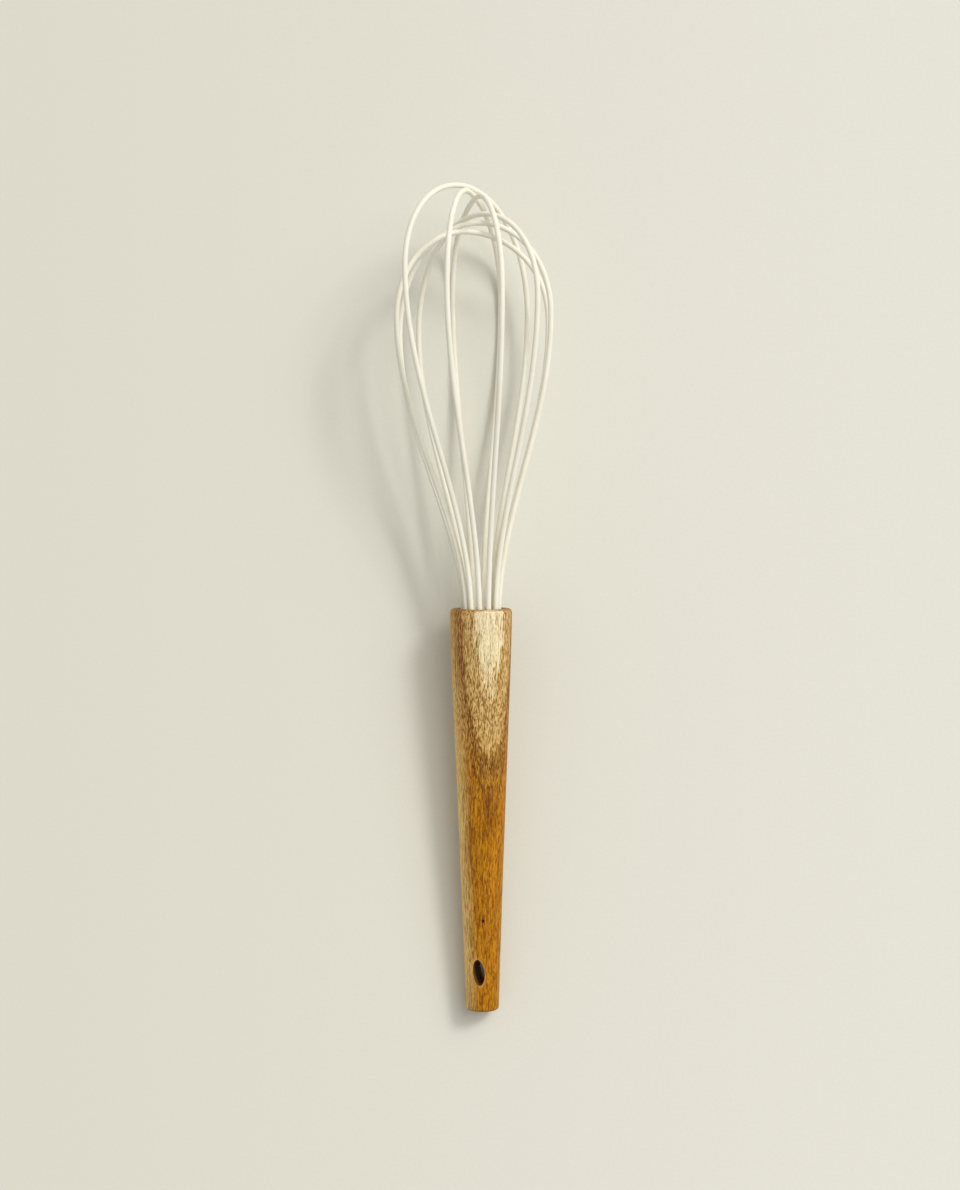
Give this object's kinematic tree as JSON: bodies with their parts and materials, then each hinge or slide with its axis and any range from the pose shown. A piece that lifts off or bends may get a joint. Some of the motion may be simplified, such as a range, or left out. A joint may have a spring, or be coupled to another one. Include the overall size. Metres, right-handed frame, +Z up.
{
  "type": "balloon whisk",
  "caption": "Balloon whisk with a turned, tapered acacia handle and looped strands of silicone sleeve over spring steel.",
  "frame": {"origin": "middle of the bounding box, on the floor plane, with the whisk lying at rest", "axes": "+Y runs along the whisk from the butt to the balloon, +Z is up, and X is across the whisk"},
  "size_m": [0.0589, 0.3088, 0.0579],
  "materials": {
    "acacia": "satin oiled acacia with dark pores and a wedge of pale sapwood at the mouth",
    "silicone": "smooth satin, warm off-white silicone",
    "spring_steel": "drawn spring wire, hidden inside the sleeves",
    "resin": "cast potting resin, pale and matte"
  },
  "bodies": {
    "root": {"handle": "acacia", "potting_plug": "resin", "silicone_loop_1": "silicone", "silicone_loop_2": "silicone", "silicone_loop_3": "silicone", "silicone_loop_4": "silicone", "silicone_loop_5": "silicone", "silicone_loop_6": "silicone", "steel_core_1": "spring_steel", "steel_core_2": "spring_steel", "steel_core_3": "spring_steel", "steel_core_4": "spring_steel", "steel_core_5": "spring_steel", "steel_core_6": "spring_steel"}
  },
  "joints": []
}
